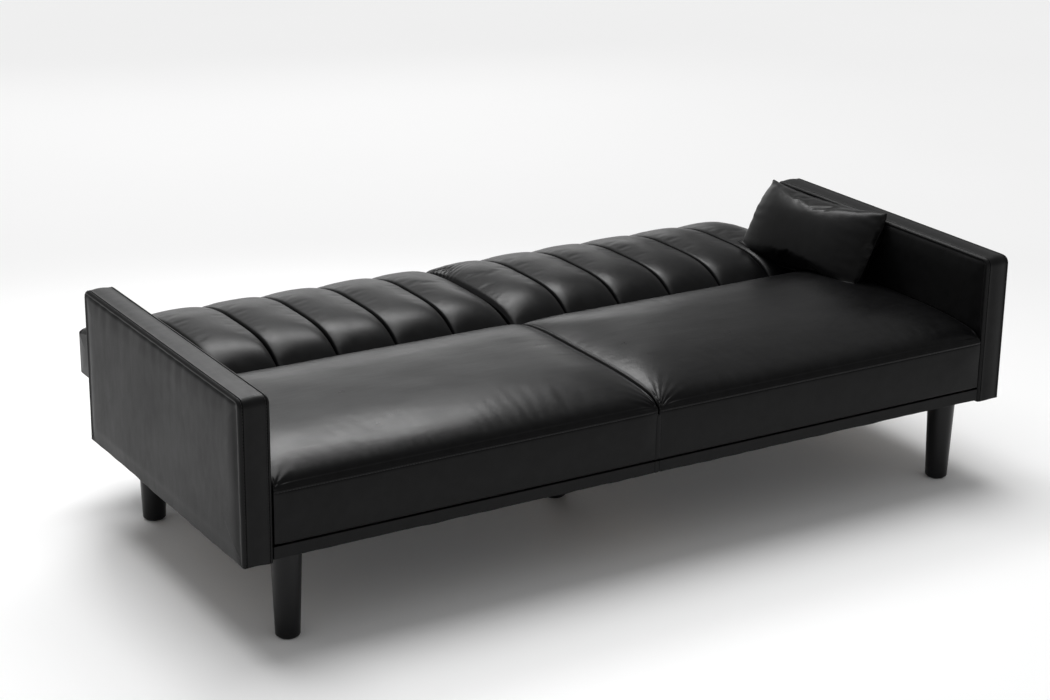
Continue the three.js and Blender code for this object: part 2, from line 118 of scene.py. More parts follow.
# ---- wrapped rails and the strip between the seat halves ----
RAIL_GAP = 0.0026  # the dark gap above a wrapped rail
RAIL_SEAM_AT = 0.0060  # from the sofa's centre to each seam of the joining strip
RAIL_SEAM_WIDE = 0.0012
RAIL_SEAM_DEEP = 0.0014
RAIL_JOINT_FINE = (0, 0.0022, 0.0042, 0.0052, RAIL_SEAM_AT, 0.0068, 0.0080, 0.011)
WELT_HALF = 0.0058
WELT_STANDS = 0.0021  # in front of the seat covers' front faces
WELT_BELLY = 0.0007
WELT_OUTLINE = ((-1, 0.004), (-1, 0.0012), (-0.7, 0.0002), (0, 0), (0.7, 0.0002), (1, 0.0012), (1, 0.004))

# ---- legs ----
LEG_FOOT = 0.025  # radius at the floor, before the foot is rounded
GLIDE_RADIUS = 0.021
GLIDE_HEIGHT = 0.003
LEG_BOLT = 0.004  # radius

# ---- pillow ----
PILLOW_HEIGHT = 0.216
PILLOW_THICK = 0.104
PILLOW_START = 0.074  # thickness before it is blown up
PILLOW_SPARE = 0.012  # its panels are cut larger than it ends up
PILLOW_CAP = 0.018  # how far cloth may move a point
PILLOW_GRID = 0.0056
PILLOW_FOOT = 0.105  # its lower edge from the arm
PILLOW_HEAD = 0.002  # its upper edge from the arm
PILLOW_MIDDLE = 0.452  # height of its middle
PILLOW_FORWARD = 0.018  # slid towards the front
PILLOW_TIP = math.radians(1.5)  # its front end lifted
PILLOW_TURN = math.radians(5)
PILLOW_CLEAR = 0.001  # from the arm
PILLOW_SOFT = 0.006  # leather nearer to the arm than this is pressed flat
PILLOW_END_FOLDS = 0.0042
PILLOW_SIDE_FOLDS = 0.0018
PILLOW_WAVES = 0.0012
PILLOW_WELT = 0.0012  # radius

# ---- stitches ----
STITCH_LENGTH = 0.0046
STITCH_GAP = 0.0019
STITCH_HALF = 0.00045
STITCH_BOW = 0.0003
STITCH_LIFT = 0.0001
# share of the length, size and share of the bow of each ring of a stitch
STITCH_SHAPE = ((0, 0.35, -1), (0.2, 0.9, 0.2), (0.5, 1, 0.45), (0.8, 0.9, 0.2), (1, 0.35, -1))

# ---- leather colour, floor and lamps ----
LEATHER = (0.0032, 0.0032, 0.0034)
FLOOR_TONE = 0.95
FLOOR_HALF = 40.0
SKY = 0.35
SUN = {"power": 1.9, "angle": 38, "from": (0.05, 0.35, 0.95)}
SOFTBOXES = {  # place, aim, size, power and spread in degrees of each lamp
    "key": ((0.15, 1.5, 2.15), (-0.45, -0.1, 0.37), (1.6, 0.6), 14, 110),
    "backdrop": ((1.5, 4.9, 1.4), (-0.3, 0, 0.6), (3.6, 1.2), 8, 110),
}


# ---- small helpers ----
def smooth(t):
    t = np.clip(t, 0, 1)
    return t * t * (3 - 2 * t)


def roll(distance, reach, power):
    """0 at an edge, rising to 1 at reach from it, steeper near the edge for a higher power."""
    return 1 - (1 - np.clip(distance / reach, 0, 1)) ** power


def hump(value, centre, width):
    return np.exp(-(((value - centre) / width) ** 2))


def steps(low, high, spacing):
    return np.linspace(low, high, max(2, int(round((high - low) / spacing)) + 1))


def spaced(low, high, spacing, fine_low=(0,), fine_high=(0,)):
    """Places from low to high: fine distances from each end, and even steps between them."""
    near = [low + d for d in fine_low]
    far = [high - d for d in reversed(fine_high)]
    return np.array(near[:-1] + list(steps(near[-1], far[0], spacing)) + far[1:])


def seam_dip(distance):
    """Height of leather beside a seam: sewn down at it, a small roll, a stitched dent, then level."""
    sewn = -SEAM_DEPTH * hump(distance, 0, 0.0016)
    rolled = SEAM_ROLL * hump(distance, 0.0038, 0.0018)
    return sewn + rolled - STITCH_DENT * hump(distance, STITCH_INSET, 0.0014)


def circle(radius, sides):
    angles = np.linspace(0, 2 * math.pi, sides, endpoint=False)
    return [(radius * math.cos(a), radius * math.sin(a)) for a in angles]


def field(points, scale, seed):
    """Smooth noise between about -1 and 1 at each point; scale is in waves per metre."""
    shift = Vector((seed * 7.31, seed * 3.17, seed * 11.9))
    stretched = np.asarray(points) * np.asarray(scale)
    return np.array([noise.noise(Vector(p) + shift) for p in stretched])


# ---- mesh helpers ----
def mesh_object(name, points, faces, material=None):
    mesh = bpy.data.meshes.new(name)
    mesh.from_pydata([tuple(p) for p in points], [], [tuple(f) for f in faces])
    mesh.validate()
    mesh.update()
    obj = bpy.data.objects.new(name, mesh)
    bpy.context.scene.collection.objects.link(obj)
    if material:
        mesh.materials.append(material)
    return obj


def shade_smooth(obj):
    obj.data.polygons.foreach_set("use_smooth", [True] * len(obj.data.polygons))
    return obj


def apply_modifiers(obj):
    depsgraph = bpy.context.evaluated_depsgraph_get()
    mesh = bpy.data.meshes.new_from_object(obj.evaluated_get(depsgraph))
    obj.modifiers.clear()
    obj.data = mesh
    return obj


def subdivide(obj, levels=1):
    sub = obj.modifiers.new("subdivision", "SUBSURF")
    sub.levels = sub.render_levels = levels
    return shade_smooth(apply_modifiers(obj))


def points_of(obj):
    out = np.zeros(len(obj.data.vertices) * 3)
    obj.data.vertices.foreach_get("co", out)
    return out.reshape(-1, 3)


def normals_of(obj):
    return np.array([v.normal[:] for v in obj.data.vertices])


def set_points(obj, points):
    obj.data.vertices.foreach_set("co", np.asarray(points, float).ravel())
    obj.data.update()


def push_out(obj, heights):
    """Moves each point along its normal."""
    set_points(obj, points_of(obj) + normals_of(obj) * np.asarray(heights)[:, None])


def weld(obj, distance=1e-5):
    work = bmesh.new()
    work.from_mesh(obj.data)
    bmesh.ops.remove_doubles(work, verts=work.verts, dist=distance)
    bmesh.ops.dissolve_degenerate(work, edges=work.edges, dist=1e-6)
    bmesh.ops.recalc_face_normals(work, faces=work.faces)
    work.to_mesh(obj.data)
    work.free()


def joined(name, parts, material):
    """One mesh from many (points, faces) parts."""
    points, faces, start = [], [], 0
    for some_points, some_faces in parts:
        points.extend(some_points)
        faces.extend([tuple(start + i for i in face) for face in some_faces])
        start += len(some_points)
    return mesh_object(name, points, faces, material)


def along_path(path, normals, sections):
    """Rings of points carried along a path; each section is (place along, across, out) per ring corner."""
    path, normals = np.asarray(path, float), np.asarray(normals, float)
    reach = np.concatenate([[0], np.cumsum(np.linalg.norm(np.diff(path, axis=0), axis=1))])
    near, tiny = 1e-4, 1e-12

    def at(values, s):
        return np.array([np.interp(s, reach, values[:, axis]) for axis in range(3)])

    out = []
    for s, ring in sections(reach[-1]):
        ahead = at(path, min(s + near, reach[-1])) - at(path, max(s - near, 0))
        ahead = ahead / (np.linalg.norm(ahead) + tiny)
        up = at(normals, s)
        up = up / (np.linalg.norm(up) + tiny)
        across = np.cross(ahead, up)
        out.append([at(path, s) + across * a + up * b for a, b in ring])
    return out


def tube_between(rings, closed_ends=True):
    """Faces that join rings of the same size into one closed tube."""
    n = len(rings[0])
    points = [p for ring in rings for p in ring]
    faces = []
    for r in range(len(rings) - 1):
        for k in range(n):
            j = (k + 1) % n
            faces.append((r * n + k, r * n + j, (r + 1) * n + j, (r + 1) * n + k))
    if closed_ends:
        faces.append(tuple(range(n))[::-1])
        faces.append(tuple(range((len(rings) - 1) * n, len(rings) * n)))
    return points, faces


def stitches(name, path, normals, body):
    """A row of sewn stitches that lie in a seam's dent, each a small bowed bead of thread."""
    parts = []
    corners = circle(STITCH_HALF, 6)

    def bead(start):
        def sections(total):
            for place, size, bow in STITCH_SHAPE:
                ring = [(a * size, b * size + bow * STITCH_BOW + STITCH_LIFT) for a, b in corners]
                yield min(start + place * STITCH_LENGTH, total), ring

        return sections

    total = np.linalg.norm(np.diff(np.asarray(path), axis=0), axis=1).sum()
    start = STITCH_GAP
    while start + STITCH_LENGTH < total:
        parts.append(tube_between(along_path(path, normals, bead(start))))
        start += STITCH_LENGTH + STITCH_GAP
    obj = shade_smooth(joined(name, parts, thread))
    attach(obj, body)


# ---- materials ----
def new_material(name):
    material = bpy.data.materials.new(name)
    material.use_nodes = True
    tree = material.node_tree
    return material, tree, tree.nodes["Principled BSDF"]


def add_node(tree, kind, **inputs):
    node = tree.nodes.new(kind)
    for key, value in inputs.items():
        if key in node.inputs:
            node.inputs[key].default_value = value
        else:
            setattr(node, key, value)
    return node


def ramp(tree, source, low, high, low_value, high_value):
    node = tree.nodes.new("ShaderNodeMapRange")
    node.inputs["From Min"].default_value = low
    node.inputs["From Max"].default_value = high
    node.inputs["To Min"].default_value = low_value
    node.inputs["To Max"].default_value = high_value
    tree.links.new(source, node.inputs["Value"])
    return node.outputs["Result"]


def bump(tree, height, distance, strength=1.0, under=None):
    node = tree.nodes.new("ShaderNodeBump")
    node.inputs["Distance"].default_value = distance
    node.inputs["Strength"].default_value = strength
    tree.links.new(height, node.inputs["Height"])
    if under is not None:
        tree.links.new(under, node.inputs["Normal"])
    return node.outputs["Normal"]


def leather_material(name, roughness, stretch, specular=0.13, turn=0.0, crease_share=0.16):
    """Black coated leather: pebbled grain, faint creases, and a finish that varies softly.

    The creases are stretched, and turned about Z; crease_share is how strongly they show.
    """
    material, tree, shader = new_material(name)
    links = tree.links
    place = tree.nodes.new("ShaderNodeTexCoord").outputs["Object"]
    stretched = tree.nodes.new("ShaderNodeMapping")
    stretched.inputs["Scale"].default_value = stretch
    stretched.inputs["Rotation"].default_value = (0, 0, turn)
    links.new(place, stretched.inputs["Vector"])
    cloud = add_node(tree, "ShaderNodeTexNoise", Scale=9.0, Detail=4.0, Roughness=0.6)
    fine = add_node(tree, "ShaderNodeTexNoise", Scale=42.0, Detail=2.0, Roughness=0.5)
    pebble = add_node(tree, "ShaderNodeTexVoronoi", Scale=780.0)
    pore = add_node(tree, "ShaderNodeTexNoise", Scale=1900.0, Detail=2.0)
    crease = add_node(tree, "ShaderNodeTexNoise", Scale=24.0, Detail=3.0, Roughness=0.5, Distortion=0.3)
    for texture in (cloud, fine, pebble, pore):
        links.new(place, texture.inputs["Vector"])
    links.new(stretched.outputs["Vector"], crease.inputs["Vector"])
    low, high = (tuple(c * k for c in LEATHER) + (1.0,) for k in (0.75, 1.3))
    tint = add_node(tree, "ShaderNodeMix", data_type="RGBA")
    tint.inputs["A"].default_value = low
    tint.inputs["B"].default_value = high
    links.new(ramp(tree, fine.outputs["Fac"], 0.3, 0.7, 0, 1), tint.inputs["Factor"])
    links.new(tint.outputs["Result"], shader.inputs["Base Color"])
    worn = tree.nodes.new("ShaderNodeMath")
    worn.operation = "ADD"
    finish = ramp(tree, cloud.outputs["Fac"], 0.3, 0.7, roughness - 0.025, roughness + 0.025)
    links.new(finish, worn.inputs[0])
    links.new(ramp(tree, crease.outputs["Fac"], 0.3, 0.7, -0.02, 0.02), worn.inputs[1])
    links.new(worn.outputs["Value"], shader.inputs["Roughness"])
    surface = bump(tree, crease.outputs["Fac"], 0.0010, crease_share)
    surface = bump(tree, pebble.outputs["Distance"], 0.00010, 0.3, surface)
    surface = bump(tree, pore.outputs["Fac"], 0.00003, 0.3, surface)
    links.new(surface, shader.inputs["Normal"])
    shader.inputs["Specular IOR Level"].default_value = specular
    return material


def plain_material(
    name, base, roughness, metallic=0.0, scale=60.0, depth=0.0002, vary=0.15, stretch=(1, 1, 1)
):
    """A surface with soft variation of colour and finish and a fine bump, all from one noise."""
    material, tree, shader = new_material(name)
    place = tree.nodes.new("ShaderNodeTexCoord").outputs["Object"]
    mapping = tree.nodes.new("ShaderNodeMapping")
    mapping.inputs["Scale"].default_value = stretch
    tree.links.new(place, mapping.inputs["Vector"])
    texture = add_node(tree, "ShaderNodeTexNoise", Scale=scale, Detail=5.0, Roughness=0.6)
    tree.links.new(mapping.outputs["Vector"], texture.inputs["Vector"])
    tint = add_node(tree, "ShaderNodeMix", data_type="RGBA")
    tint.inputs["A"].default_value = tuple(c * (1 - vary) for c in base) + (1.0,)
    tint.inputs["B"].default_value = tuple(min(1.0, c * (1 + vary)) for c in base) + (1.0,)
    tree.links.new(ramp(tree, texture.outputs["Fac"], 0.3, 0.7, 0, 1), tint.inputs["Factor"])
    tree.links.new(tint.outputs["Result"], shader.inputs["Base Color"])
    finish = ramp(tree, texture.outputs["Fac"], 0.3, 0.7, roughness - 0.06, roughness + 0.06)
    tree.links.new(finish, shader.inputs["Roughness"])
    tree.links.new(bump(tree, texture.outputs["Fac"], depth, 0.6), shader.inputs["Normal"])
    shader.inputs["Metallic"].default_value = metallic
    return material


seat_leather = leather_material("seat_leather", 0.31, (0.55, 2.0, 1), turn=0.45, crease_share=0.26)
back_leather = leather_material("back_leather", 0.34, (2.2, 1, 1), crease_share=0.22)
arm_leather = leather_material("arm_leather", 0.44, (1, 2.4, 0.8), specular=0.16)
pillow_leather = leather_material("pillow_leather", 0.35, (1, 2.0, 1), specular=0.17)
thread = plain_material("thread", (0.03, 0.03, 0.032), 0.5, scale=900.0, depth=0.0001)
leg_lacquer = plain_material("leg_lacquer", (0.004, 0.004, 0.0045), 0.34, scale=24.0, depth=0.0001)
leg_lacquer.node_tree.nodes["Principled BSDF"].inputs["Specular IOR Level"].default_value = 0.25
timber = plain_material(
    "timber", (0.45, 0.30, 0.16), 0.72, scale=22.0, depth=0.0005, vary=0.3, stretch=(0.12, 1, 1)
)
plywood = plain_material(
    "plywood", (0.50, 0.35, 0.20), 0.7, scale=16.0, depth=0.0004, vary=0.25, stretch=(0.15, 1, 1)
)
non_woven = plain_material("non_woven", (0.012, 0.012, 0.013), 0.9, scale=420.0, depth=0.0006, vary=0.4)
black_steel = plain_material("black_steel", (0.02, 0.02, 0.022), 0.42, 0.6, scale=120.0, depth=0.0001)
zinc_steel = plain_material("zinc_steel", (0.5, 0.5, 0.52), 0.32, 1.0, scale=160.0, depth=0.0001)
rubber = plain_material("rubber", (0.008, 0.008, 0.008), 0.75, scale=300.0, depth=0.0002)


# ---- a closed body: a loop in Y and Z carried along X, closed at both ends by shrinking rings ----
def loop_of(sides):
    """Joins straight sides, each (start, end, places from 0 to its length), into one loop.

    Gives the loop's points and the number of the side that each lies on.
    """
    out, numbers = [], []
    for number, (a, b, places) in enumerate(sides):
        a, b = np.array(a, float), np.array(b, float)
        length = np.linalg.norm(b - a)
        for s in places[:-1]:
            out.append(a + (b - a) * s / length)
            numbers.append(number)
    return np.array(out), np.array(numbers)


def carried(name, xs, loop, place, insets, material, dome=None):
    """place(x, y, z) moves the loop at each x. Rings step in from each end by insets, then meet on a ridge.

    dome(distance in from the rim, y, z, sign) gives how far an end face stands out in X.
    """
    n = len(loop)
    points = np.concatenate([place(np.full(n, x), loop[:, 0], loop[:, 1]) for x in xs])
    faces = []
    for i in range(len(xs) - 1):
        for k in range(n):
            j = (k + 1) % n
            faces.append((i * n + k, i * n + j, (i + 1) * n + j, (i + 1) * n + k))
    for first, sign in ((0, -1), (len(xs) - 1, 1)):
        rim = points[first * n : (first + 1) * n].copy()
        low, high = rim.min(0), rim.max(0)
        half = 0.5 * min(high[1] - low[1], high[2] - low[2])
        ridge = rim.copy()
        ridge[:, 1] = np.clip(rim[:, 1], low[1] + half, high[1] - half)
        ridge[:, 2] = np.clip(rim[:, 2], low[2] + half, high[2] - half)
        previous = np.arange(first * n, (first + 1) * n)
        for inset in list(insets) + [half]:
            share = min(1.0, inset / half)
            ring = rim + (ridge - rim) * share
            if dome is not None:
                ring[:, 0] = rim[:, 0] + sign * dome(inset, ring[:, 1], ring[:, 2], sign)
            start = len(points)
            points = np.concatenate([points, ring])
            current = np.arange(start, start + n)
            for k in range(n):
                j = (k + 1) % n
                quad = (previous[k], previous[j], current[j], current[k])
                faces.append(quad if sign > 0 else quad[::-1])
            previous = current
    obj = mesh_object(name, points, faces, material)
    weld(obj)
    return obj


def node_span(*names):
    """The corners of the box round some CAD nodes."""
    boxes = [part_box(n) for n in names]
    low = Vector([min(b[0][a] for b in boxes) for a in range(3)])
    high = Vector([max(b[1][a] for b in boxes) for a in range(3)])
    return low, high


def grid_path(obj, n, places):
    """Points and normals of a made object at places (column, loop index) of its grid of n per column."""
    index = [i * n + k for i, k in places]
    return points_of(obj)[index], normals_of(obj)[index]


# ---- seat halves ----
def seat_height(d_end, along, depth):
    """Height of the seat's top above the floor: d_end from the nearer end, along from the front."""
    front = roll(along, 0.220, 2.4)
    rear = roll(depth - along, 0.170, 2.2)
    ends = SEAT_END_SHARE + (1 - SEAT_END_SHARE) * roll(d_end, 0.130, 2.2)
    edge = np.minimum(along, depth - along)
    tight = SEAT_ROLL * (1 - np.exp(-edge / 0.0135)) * (0.72 + 0.28 * (1 - np.exp(-d_end / 0.012)))
    return BAND_TOP + 0.004 * along / depth + SEAT_CROWN * front * rear * ends + tight


def seat_half(hand, side):
    low, high = node_span(f"seat_cover_{hand}")
    x0, x1 = low.x + 0.0005, high.x - 0.0005
    y0, y1 = low.y - 0.001, high.y - 0.0005
    z0 = low.z
    tall, deep = BAND_TOP - z0, y1 - y0
    front = spaced(0, tall, SEAT_GRID, (0, 0.003, 0.008), SEAM_FINE)
    top = spaced(0, deep, SEAT_GRID, SEAM_FINE, (0, 0.003, 0.008, 0.014))
    rear = spaced(0, tall, 0.016, (0, 0.004))
    under = spaced(0, deep, 0.03, (0, 0.006), (0, 0.006))
    loop, sides = loop_of(
        [
            ((y0, z0), (y0, BAND_TOP), front),
            ((y0, BAND_TOP), (y1, BAND_TOP), top),
            ((y1, BAND_TOP), (y1, z0), rear),
            ((y1, z0), (y0, z0), under),
        ]
    )

    def place(x, y, z):
        d_end = np.minimum(x - x0, x1 - x)
        along = y - y0
        on_top = (sides == 1) & (along > 0)
        lifted = np.where(on_top, seat_height(d_end, along, deep), z)
        seam = seam_dip(along) + np.where(along > 0.004, seam_dip(d_end), 0)
        lifted = lifted + np.where(on_top, seam, 0)
        at = np.clip((z - z0) / tall, 0, 1)
        belly = BAND_BELLY * np.sin(np.pi * at) ** 0.8 * roll(d_end, 0.05, 2)
        below = BAND_TOP - z
        band = 0.0011 * hump(below, 0.0034, 0.0020) - 0.0010 * hump(below, STITCH_INSET + 0.001, 0.0013)
        y = np.where(sides == 0, y - belly - band + 0.0016 * hump(below, 0, 0.0014), y)
        return np.stack([x, y, lifted], 1)

    def end_dome(inset, y, z, sign):
        return 0.0007 * smooth(inset / 0.02)

    fine_end = SEAM_FINE + (0.0215, 0.0275, 0.0345)
    xs = spaced(x0, x1, SEAT_GRID, fine_end, fine_end)
    insets = (0.0015, 0.004, 0.01, 0.03)
    obj = carried(f"seat_cushion_{hand}", xs, loop, place, insets, seat_leather, end_dome)
    swell(obj, seat_free(points_of(obj), x0, x1, y0, y1), SEAT_SWELL)
    subdivide(obj)
    pucker_seat(obj, side, (x0, x1, y0, z0))
    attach(obj, "base")
    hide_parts(f"seat_cover_{hand}", f"seat_foam_{hand}")

    n = len(loop)
    under_edge = np.where(sides == 0, np.abs(BAND_TOP - loop[:, 1] - STITCH_INSET), np.inf)
    row = [(i, int(np.argmin(under_edge))) for i in range(4, len(xs) - 4)]
    stitches(f"seat_front_stitches_{hand}", *grid_path(obj, n, row), "base")
    split = x1 if side < 0 else x0  # the end at the sofa's centre
    column = int(np.argmin(np.abs(np.abs(xs - split) - STITCH_INSET)))
    along_top = [k for k in range(n) if sides[k] == 1 and 0.010 < loop[k, 0] - y0 < deep - 0.01]
    stitches(f"seat_split_stitches_{hand}", *grid_path(obj, n, [(column, k) for k in along_top]), "base")


def pucker_seat(obj, side, corner):
    """Pleats, tucks, pulls and waves in a seat half's panel, and waves in its front band."""
    x0, x1, y0, z0 = corner
    split, arm = (x1, x0) if side < 0 else (x0, x1)
    at = points_of(obj)
    d_split, along = np.abs(at[:, 0] - split), at[:, 1] - y0
    d_end = np.minimum(at[:, 0] - x0, x1 - at[:, 0])
    on_top = at[:, 2] > BAND_TOP + 0.002
    # tight pleats that fan out of the front corner at the sofa's centre, and smaller ones at the arm
    reach = np.hypot(d_split, along)
    angle = np.arctan2(along, d_split)
    fan = 26 if side > 0 else 18
    pleats = np.sin(angle * fan) * smooth((reach - 0.004) / 0.012) * np.exp(-reach / 0.028)
    d_arm = np.abs(at[:, 0] - arm)
    far = np.hypot(d_arm, along)
    tucks = np.sin(np.arctan2(along, d_arm) * 14 + 1) * smooth(far / 0.02) * np.exp(-far / 0.03)
    # light pulls across the seams, and long faint waves in the panel
    pulls = field(at, (95, 28, 0), 3 + side) * np.exp(-along / 0.035) * smooth(along / 0.01)
    side_pulls = field(at, (28, 95, 0), 5 + side) * np.exp(-d_end / 0.03) * smooth(d_end / 0.01)
    waves = field(at, (9, 14, 0), 8 + side) * roll(d_end, 0.1, 2) * roll(along, 0.1, 2)
    lift = SEAT_PLEATS * pleats + SEAT_TUCKS * tucks + SEAT_PULLS * (pulls + side_pulls) + SEAT_WAVES * waves
    share = np.clip((at[:, 2] - z0) / (BAND_TOP - z0), 0, 1)
    band = BAND_WAVES * field(at, (16, 0, 24), 12 + side) * np.sin(np.pi * share)
    push_out(obj, np.where(on_top, lift, np.where(along < 0.004, band, 0)))


def seat_free(points, x0, x1, y0, y1):
    """How free each point of a seat half is to move: 0 where it is sewn or hidden, 1 in the panel."""
    d_end = np.minimum(points[:, 0] - x0, x1 - points[:, 0])
    d_edge = np.minimum(points[:, 1] - y0, y1 - points[:, 1])
    on_top = points[:, 2] > BAND_TOP + 0.001
    return np.where(on_top, smooth((np.minimum(d_end, d_edge) - 0.008) / 0.02), 0)


# ---- cloth ----
def cloth_travel(obj, free=None, slack=0.0, frames=20, pressure=4.0):
    """How far each point moves when Blender's cloth, with air pressure in it, swells the mesh."""
    start = points_of(obj)
    cloth = obj.modifiers.new("cloth", "CLOTH")
    feel = cloth.settings
    if free is not None:
        held = obj.vertex_groups.new(name="held")
        tenths = np.round(free, 1)
        for level in np.unique(tenths[tenths < 1]):
            held.add([int(i) for i in np.flatnonzero(tenths == level)], float(1 - level), "REPLACE")
        feel.vertex_group_mass = "held"
    feel.quality = 5
    feel.mass = 0.3
    feel.tension_stiffness = feel.compression_stiffness = 15
    feel.shear_stiffness = 5
    feel.bending_stiffness = 0.5
    feel.use_pressure = True
    feel.uniform_pressure_force = pressure
    feel.shrink_min = -slack
    feel.effector_weights.gravity = 0
    cloth.collision_settings.use_collision = False
    cloth.point_cache.frame_start = 1
    cloth.point_cache.frame_end = frames
    for number in range(1, frames + 1):
        bpy.context.scene.frame_set(number)
    moved = obj.evaluated_get(bpy.context.evaluated_depsgraph_get()).data
    end = np.zeros(len(moved.vertices) * 3)
    moved.vertices.foreach_get("co", end)
    obj.modifiers.clear()
    obj.vertex_groups.clear()
    bpy.context.scene.frame_set(1)
    return end.reshape(-1, 3) - start


def swell(obj, free, most, slack=0.004):
    """Lets cloth swell the free points of a cushion, scaled so that they travel up to most."""
    travel = cloth_travel(obj, free, slack)
    reach = np.percentile(np.linalg.norm(travel, axis=1), 98) + 1e-9
    set_points(obj, points_of(obj) + travel * min(1.0, most / reach))


# ---- back halves ----
def back_height(d_end, along):
    rise = roll(along, 0.250, 4.5)
    fall = 1 - 0.60 * (np.clip(along - 0.256, 0, None) / 0.170) ** 2
    ends = BACK_END_SHARE + (1 - BACK_END_SHARE) * roll(d_end, 0.120, 2.2)
    return BACK_SEAM + BACK_CROWN * rise * fall * ends


def channel_swell(x, x0, x1):
    """Swell of the sewn channels at x: a broad bulge between tight valleys; 0 at a half's ends."""
    channel = (x - x0) / (x1 - x0) * CHANNELS
    wide = (x1 - x0) / CHANNELS
    u = np.abs(2 * (channel - np.floor(np.clip(channel, 0, CHANNELS - 1e-6))) - 1)
    from_seam = (1 - u) * wide / 2
    inner = np.minimum(x - x0, x1 - x) > wide / 2
    valley = np.where(inner, CHANNEL_VALLEY, 0) * hump(from_seam, 0, 0.0021)
    return CHANNEL_SWELL * (0.55 * (1 - u**2.4) + 0.45 * (1 - np.exp(-from_seam / 0.007))) - valley


def back_half(hand, side):
    low, high = node_span(f"back_cover_{hand}")
    x0, x1 = low.x, high.x
    y0, y1 = low.y, high.y
    z0 = low.z - 0.003
    tall, deep = BACK_SEAM - z0, y1 - y0
    front = spaced(0, tall, 0.012, (0, 0.005), (0, 0.002, 0.005))
    rear_fine = (0, 0.0015, 0.0035, 0.006, 0.010, 0.015, 0.021)
    top = spaced(0, deep, BACK_GRID, (0, 0.0025, 0.0055, 0.010), rear_fine)
    rear = spaced(0, tall, BACK_GRID, (0, 0.002, 0.0045, 0.008), (0, 0.003, 0.007))
    under = spaced(0, deep, 0.03, (0, 0.006), (0, 0.006))
    loop, sides = loop_of(
        [
            ((y0, z0), (y0, BACK_SEAM), front),
            ((y0, BACK_SEAM), (y1, BACK_SEAM), top),
            ((y1, BACK_SEAM), (y1, z0), rear),
            ((y1, z0), (y0, z0), under),
        ]
    )

    def place(x, y, z):
        d_end = np.minimum(x - x0, x1 - x)
        along = y - y0
        puff = channel_swell(x, x0, x1)
        at = np.clip((z - z0) / tall, 0, 1)
        rear_z = back_height(d_end, deep) + 0.6 * puff
        lifted = np.where(sides == 2, z0 + at * (rear_z - z0), z)
        puffed = (0.35 + 0.65 * roll(along, 0.07, 2)) * (0.6 + 0.4 * roll(deep - along, 0.06, 2))
        crown = back_height(d_end, along) + puff * puffed
        rim = hump(d_end, 0, 0.004) * 0.004
        lifted = np.where(sides == 1, crown - rim + seam_dip(deep - along) * (along > 0.3), lifted)
        belly = BACK_REAR_BELLY * np.sin(np.pi * np.clip(0.08 + 0.86 * at, 0, 1)) ** 0.6
        y = np.where(sides == 2, y + belly * roll(d_end, 0.012, 2) + 0.25 * puff * at, y)
        return np.stack([x, y, lifted], 1)

    def end_dome(inset, y, z, sign):
        return 0.0032 * smooth(inset / 0.03)

    wide = (x1 - x0) / CHANNELS
    xs = [x0]
    for channel in range(CHANNELS):
        start = x0 + channel * wide
        xs.extend(spaced(start, start + wide, BACK_GRID, CHANNEL_FINE, CHANNEL_FINE)[1:])
    xs = np.array(xs)
    insets = (0.0015, 0.004, 0.009, 0.02, 0.04)
    obj = carried(f"back_cushion_{hand}", xs, loop, place, insets, back_leather, end_dome)
    swell(obj, back_free(points_of(obj), x0, x1, y0, y1, wide), BACK_SWELL)
    subdivide(obj)
    pucker_back(obj, side, (x0, x1, y1), wide)
    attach(obj, f"back_{hand}")
    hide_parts(f"back_cover_{hand}", f"back_foam_{hand}")


def pucker_back(obj, side, corner, wide):
    """Gathers, tugs and waves in a back half's panel, and sag in its rear face."""
    x0, x1, y1 = corner
    split = x1 if side < 0 else x0
    at = points_of(obj)
    d_split = np.abs(at[:, 0] - split)
    from_rear = y1 - at[:, 1]
    d_end = np.minimum(at[:, 0] - x0, x1 - at[:, 0])
    on_top = at[:, 2] > BACK_SEAM
    # gathers where the top panel is eased onto the end boxing, close to the rear corners
    strength = 1.0 if side > 0 else 0.55
    ease = hump(from_rear, 0.055, 0.042) * np.exp(-d_split / 0.034) * smooth(d_split / 0.006)
    gathers = np.sin(2 * np.pi * (from_rear + 0.35 * d_split) / 0.0165) * ease * strength
    nearest = np.abs(((at[:, 0] - x0) / wide + 0.5) % 1 - 0.5) * wide
    tugs = field(at, (40, 85, 0), 20 + side) * np.exp(-nearest / 0.012) * smooth(nearest / 0.003)
    rear_tugs = field(at, (90, 22, 0), 24 + side) * np.exp(-np.abs(from_rear) / 0.03)
    waves = field(at, (16, 7, 0), 28 + side) * smooth(nearest / 0.02)
    lift = BACK_GATHERS * gathers + BACK_TUGS * tugs + BACK_REAR_TUGS * rear_tugs + BACK_WAVES * waves
    sag = field(at, (26, 0, 20), 33 + side) * (from_rear < 0.004) * roll(d_end, 0.01, 1)
    push_out(obj, np.where(on_top, lift, BACK_SAG * sag))


def back_free(points, x0, x1, y0, y1, wide):
    """How free each point of a back half is: sewn along the channels' valleys and round the edges."""
    from_seam = np.abs(((points[:, 0] - x0) / wide + 0.5) % 1 - 0.5) * wide
    d_edge = np.minimum(points[:, 1] - y0, y1 - points[:, 1])
    on_top = points[:, 2] > BACK_SEAM + 0.001
    return np.where(on_top, smooth((np.minimum(from_seam, d_edge) - 0.005) / 0.012), 0)


